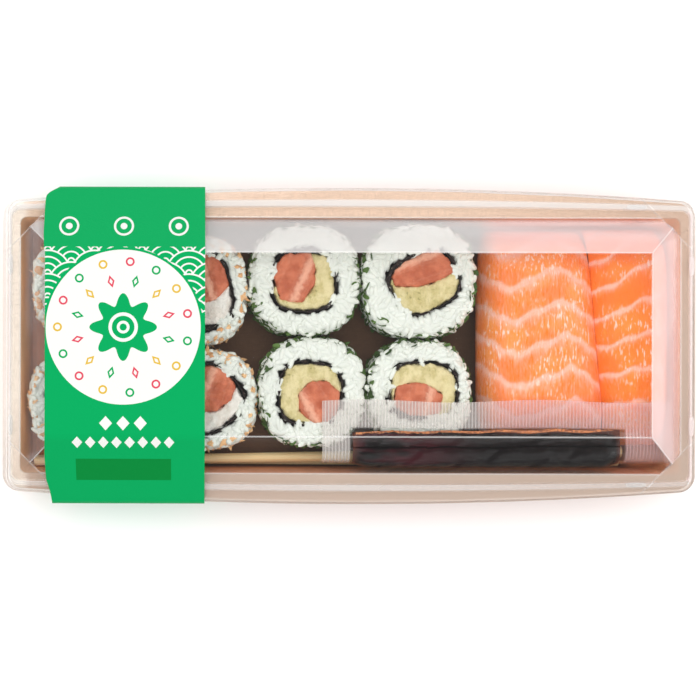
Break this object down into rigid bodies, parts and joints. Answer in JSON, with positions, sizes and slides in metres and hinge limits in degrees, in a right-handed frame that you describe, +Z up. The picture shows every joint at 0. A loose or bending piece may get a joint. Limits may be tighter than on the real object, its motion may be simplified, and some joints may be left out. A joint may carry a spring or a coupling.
{
  "type": "takeaway sushi tray",
  "caption": "Takeaway sushi tray: kraft board tray with a clear raised lid and a paper band, holding cut rolls, salmon nigiri, a soy sauce sachet and chopsticks.",
  "frame": {"origin": "middle of the tray's underside, on the surface that it stands on", "axes": "+X along the tray, away from the end with the band, +Y to its back wall, +Z up"},
  "size_m": [0.2302, 0.1052, 0.0431],
  "materials": {
    "kraft_board": "brown kraft board, half matt",
    "clear_lid": "clear formed plastic sheet",
    "band_paper": "green printed paper, half matt",
    "rice": "cooked sushi rice, moist",
    "nori": "moist dark seaweed sheet",
    "nigiri_salmon": "raw salmon, glossy, with pale lines",
    "roll_salmon": "raw salmon cut across, moist",
    "avocado": "ripe avocado, half matt",
    "cream_cheese": "soft white cheese",
    "soy_sachet": "clear film filled with soy sauce",
    "bamboo": "pale raw bamboo"
  },
  "bodies": {
    "root": {"tray": "kraft_board", "lid": "clear_lid", "band": "band_paper", "herb_roll_1_rice": "rice", "herb_roll_1_nori": "nori", "herb_roll_1_salmon": "roll_salmon", "herb_roll_1_avocado": "avocado", "herb_roll_2_rice": "rice", "herb_roll_2_nori": "nori", "herb_roll_2_salmon": "roll_salmon", "herb_roll_2_avocado": "avocado", "herb_roll_3_rice": "rice", "herb_roll_3_nori": "nori", "herb_roll_3_salmon": "roll_salmon", "herb_roll_3_avocado": "avocado", "herb_roll_4_rice": "rice", "herb_roll_4_nori": "nori", "herb_roll_4_salmon": "roll_salmon", "herb_roll_4_avocado": "avocado", "onion_roll_1_rice": "rice", "onion_roll_1_nori": "nori", "onion_roll_1_salmon": "roll_salmon", "onion_roll_1_cheese": "cream_cheese", "onion_roll_2_rice": "rice", "onion_roll_2_nori": "nori", "onion_roll_2_salmon": "roll_salmon", "onion_roll_2_cheese": "cream_cheese", "onion_roll_3_rice": "rice", "onion_roll_3_nori": "nori", "onion_roll_3_salmon": "roll_salmon", "onion_roll_3_cheese": "cream_cheese", "onion_roll_4_rice": "rice", "onion_roll_4_nori": "nori", "onion_roll_4_salmon": "roll_salmon", "onion_roll_4_cheese": "cream_cheese", "nigiri_1_rice": "rice", "nigiri_1_salmon": "nigiri_salmon", "nigiri_2_rice": "rice", "nigiri_2_salmon": "nigiri_salmon", "soy_sachet": "soy_sachet", "chopstick_1": "bamboo", "chopstick_2": "bamboo"}
  },
  "joints": []
}
